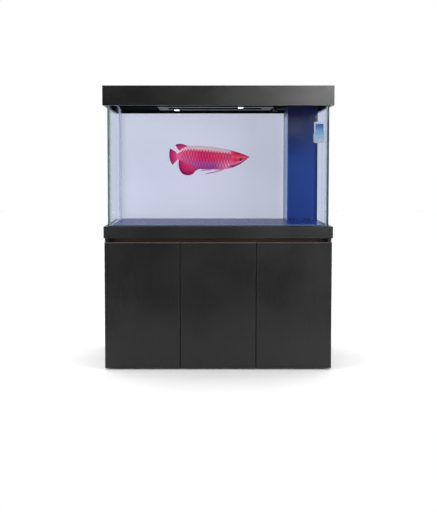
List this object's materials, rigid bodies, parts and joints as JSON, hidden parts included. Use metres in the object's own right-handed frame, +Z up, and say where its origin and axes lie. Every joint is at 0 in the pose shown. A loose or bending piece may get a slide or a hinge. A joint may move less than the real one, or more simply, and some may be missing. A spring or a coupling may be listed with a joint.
{
  "type": "aquarium on stand",
  "caption": "Rectangular glass aquarium with a corner overflow, a wooden hood and lamp, on a cabinet with doors and a sump.",
  "frame": {"origin": "on the floor under the middle of the cabinet and hood", "axes": "+Z up, the doors and the viewing pane face -Y, +X to the right of a person who looks at the front"},
  "size_m": [1.268, 0.658, 1.577],
  "materials": {
    "black_board": "black wood-grain laminate, satin",
    "board_inside": "melamine-faced board, matt",
    "bare_wood": "sawn softwood",
    "tank_glass": "clear float glass with a green edge",
    "silicone": "black silicone bead",
    "floor_blue": "blue sheet",
    "backdrop": "pale lavender sheet",
    "tower_blue": "blue acrylic",
    "grey_pvc": "grey pipe plastic",
    "clear_tube": "dark pipe plastic",
    "rubber": "black rubber",
    "foam": "closed-cell foam",
    "steel": "nickel-plated steel",
    "meter_white": "white moulded plastic",
    "meter_screen": "blue display",
    "lamp_shell": "anodised aluminium",
    "lamp_lens": "frosted lens",
    "lamp_end": "grey moulded plastic",
    "filter_white": "polyester wool",
    "tray_plastic": "black moulded plastic",
    "pump_black": "black moulded plastic",
    "impeller_white": "white moulded plastic",
    "valve_red": "red moulded plastic",
    "fish_skin": "wet red scales"
  },
  "bodies": {
    "root": {"tank_bottom_glass": "tank_glass", "tank_front_glass": "tank_glass", "tank_back_glass": "tank_glass", "tank_side_glass": "tank_glass", "tank_top_braces": "tank_glass", "silicone_seams": "silicone", "tank_floor_sheet": "floor_blue", "backdrop_panel": "backdrop", "overflow_panels": "tower_blue", "bulkhead_fittings": "grey_pvc", "bulkhead_nuts": "grey_pvc", "bulkhead_gaskets": "rubber", "drain_standpipe": "grey_pvc", "drain_strainer": "clear_tube", "return_riser": "grey_pvc", "return_spout": "clear_tube", "thermometer_housing": "meter_white", "thermometer_screen": "meter_screen", "trim_long_boards": "black_board", "trim_side_boards": "black_board", "deck_battens": "bare_wood", "deck_board": "bare_wood", "foam_mat": "foam", "cabinet_side_panels": "black_board", "cabinet_bottom_board": "board_inside", "cabinet_top_board": "board_inside", "cabinet_back_panel": "board_inside", "cabinet_dividers": "board_inside", "front_rails": "bare_wood", "floor_glides": "rubber", "hinge_arms": "steel", "sump_tank": "tank_glass", "filter_tray": "tray_plastic", "filter_wool": "filter_white", "drain_pipe": "grey_pvc", "return_pipe": "grey_pvc", "valve_bodies": "grey_pvc", "return_pump": "pump_black"},
    "hood": {"hood_boards": "black_board", "hood_cleats": "bare_wood", "hood_rear_deck": "black_board", "lid_hinge_bases": "steel", "lamp_housings": "lamp_shell", "lamp_lenses": "lamp_lens", "lamp_end_pieces": "lamp_end", "lamp_cross_bars": "lamp_shell"},
    "lid_left_flap": {"lid_left": "black_board", "lid_left_hinge_leaves": "steel"},
    "lid_right_flap": {"lid_right": "black_board", "lid_right_hinge_leaves": "steel"},
    "left_door": {"door_left": "black_board", "door_left_hinge_cups": "steel"},
    "centre_door": {"door_centre": "black_board", "door_centre_hinge_cups": "steel"},
    "right_door": {"door_right": "black_board", "door_right_hinge_cups": "steel"},
    "drain_lever": {"drain_valve_handle": "valve_red"},
    "return_lever": {"return_valve_handle": "valve_red"},
    "impeller": {"pump_impeller": "impeller_white"},
    "fish": {"arowana": "fish_skin"}
  },
  "joints": [
    {"name": "hood_lift", "type": "slide", "parent": "root", "child": "hood", "axis": [0, 0, 1], "range_m": [0, 0.25]},
    {"name": "lid_left_hinge", "type": "hinge", "parent": "hood", "child": "lid_left_flap", "pos_m": [-0.3, 0.11, 1.5735], "axis": [-1, 0, 0], "range_deg": [0, 100]},
    {"name": "lid_right_hinge", "type": "hinge", "parent": "hood", "child": "lid_right_flap", "pos_m": [0.3, 0.11, 1.5735], "axis": [-1, 0, 0], "range_deg": [0, 100]},
    {"name": "left_door_hinge", "type": "hinge", "parent": "root", "child": "left_door", "pos_m": [-0.619, -0.3143, 0.35], "axis": [0, 0, -1], "range_deg": [0, 95]},
    {"name": "centre_door_hinge", "type": "hinge", "parent": "root", "child": "centre_door", "pos_m": [-0.19867, -0.3143, 0.35], "axis": [0, 0, -1], "range_deg": [0, 95]},
    {"name": "right_door_hinge", "type": "hinge", "parent": "root", "child": "right_door", "pos_m": [0.619, -0.3143, 0.35], "axis": [0, 0, 1], "range_deg": [0, 95]},
    {"name": "drain_valve_turn", "type": "hinge", "parent": "root", "child": "drain_lever", "pos_m": [0.545, 0.1, 0.56], "axis": [0, -1, 0], "range_deg": [0, 90]},
    {"name": "return_valve_turn", "type": "hinge", "parent": "root", "child": "return_lever", "pos_m": [0.345, 0.105, 0.6], "axis": [0, -1, 0], "range_deg": [0, 90]},
    {"name": "impeller_spin", "type": "hinge", "parent": "root", "child": "impeller", "pos_m": [-0.215, 0.12, 0.077], "axis": [0, 1, 0], "continuous": true},
    {"name": "fish_swim", "type": "slide", "parent": "root", "child": "fish", "axis": [1, 0, 0], "range_m": [-0.28, 0.2]}
  ]
}
